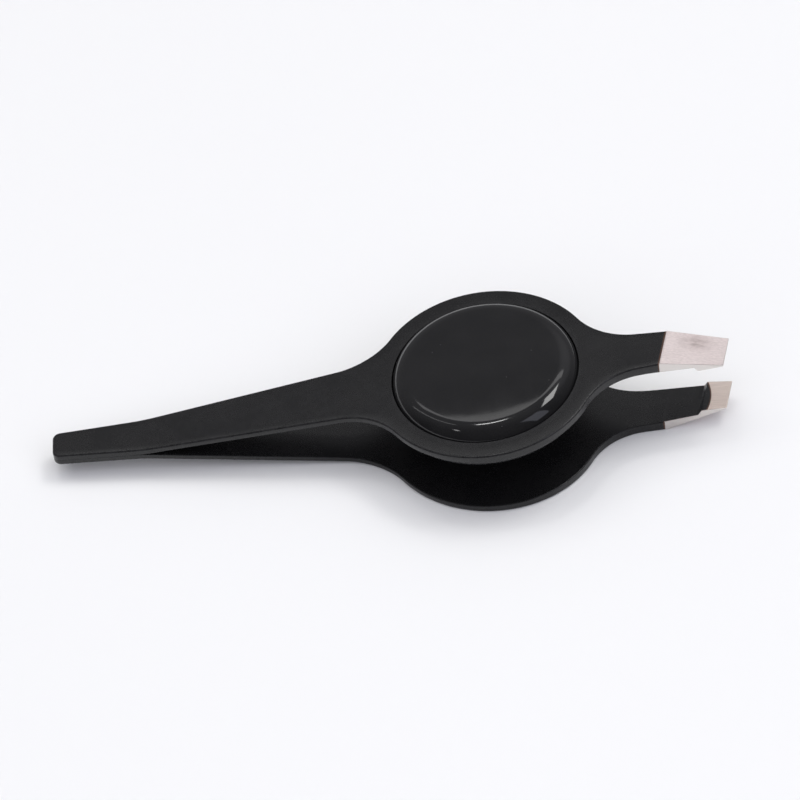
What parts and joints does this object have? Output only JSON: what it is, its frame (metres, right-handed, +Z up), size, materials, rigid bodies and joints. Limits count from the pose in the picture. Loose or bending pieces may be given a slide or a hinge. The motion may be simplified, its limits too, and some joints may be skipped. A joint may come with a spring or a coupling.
{
  "type": "slant-tip tweezers",
  "caption": "Bowed steel slant-tip tweezers with round finger pads, a glossy domed disc set in the upper pad, and bare ground tips that spring open.",
  "frame": {"origin": "middle of the footprint's bounding box, in the plane of the flat outer face of the lower blade that the tool lies on", "axes": "+X along the tool from the welded tail to the tips, +Z up from the lower pad to the upper pad, +Y to the left when looking towards the tips"},
  "size_m": [0.096, 0.0316, 0.014],
  "materials": {
    "coated_steel": "satin black soft coat",
    "bare_steel": "fine ground satin",
    "weld_steel": "raw",
    "domed_disc": "high gloss black",
    "adhesive": "matt foam tape"
  },
  "bodies": {
    "heel": {"upper_heel": "coated_steel", "lower_heel": "coated_steel", "spot_welds": "weld_steel"},
    "upper_blade": {"upper_arm": "coated_steel", "upper_tip": "bare_steel", "domed_disc": "domed_disc", "adhesive_disc": "adhesive"},
    "lower_blade": {"lower_arm": "coated_steel", "lower_tip": "bare_steel"}
  },
  "joints": [
    {"name": "upper_flex", "type": "hinge", "parent": "heel", "child": "upper_blade", "pos_m": [-0.02608, 0, 0.00584], "axis": [0, 1, 0], "range_deg": [0, 3.31], "stiffness_Nm_per_rad": 2.5},
    {"name": "lower_flex", "type": "hinge", "parent": "heel", "child": "lower_blade", "pos_m": [-0.02595, 0, 0.00255], "axis": [0, -1, 0], "range_deg": [0, 3.31], "stiffness_Nm_per_rad": 2.5}
  ]
}
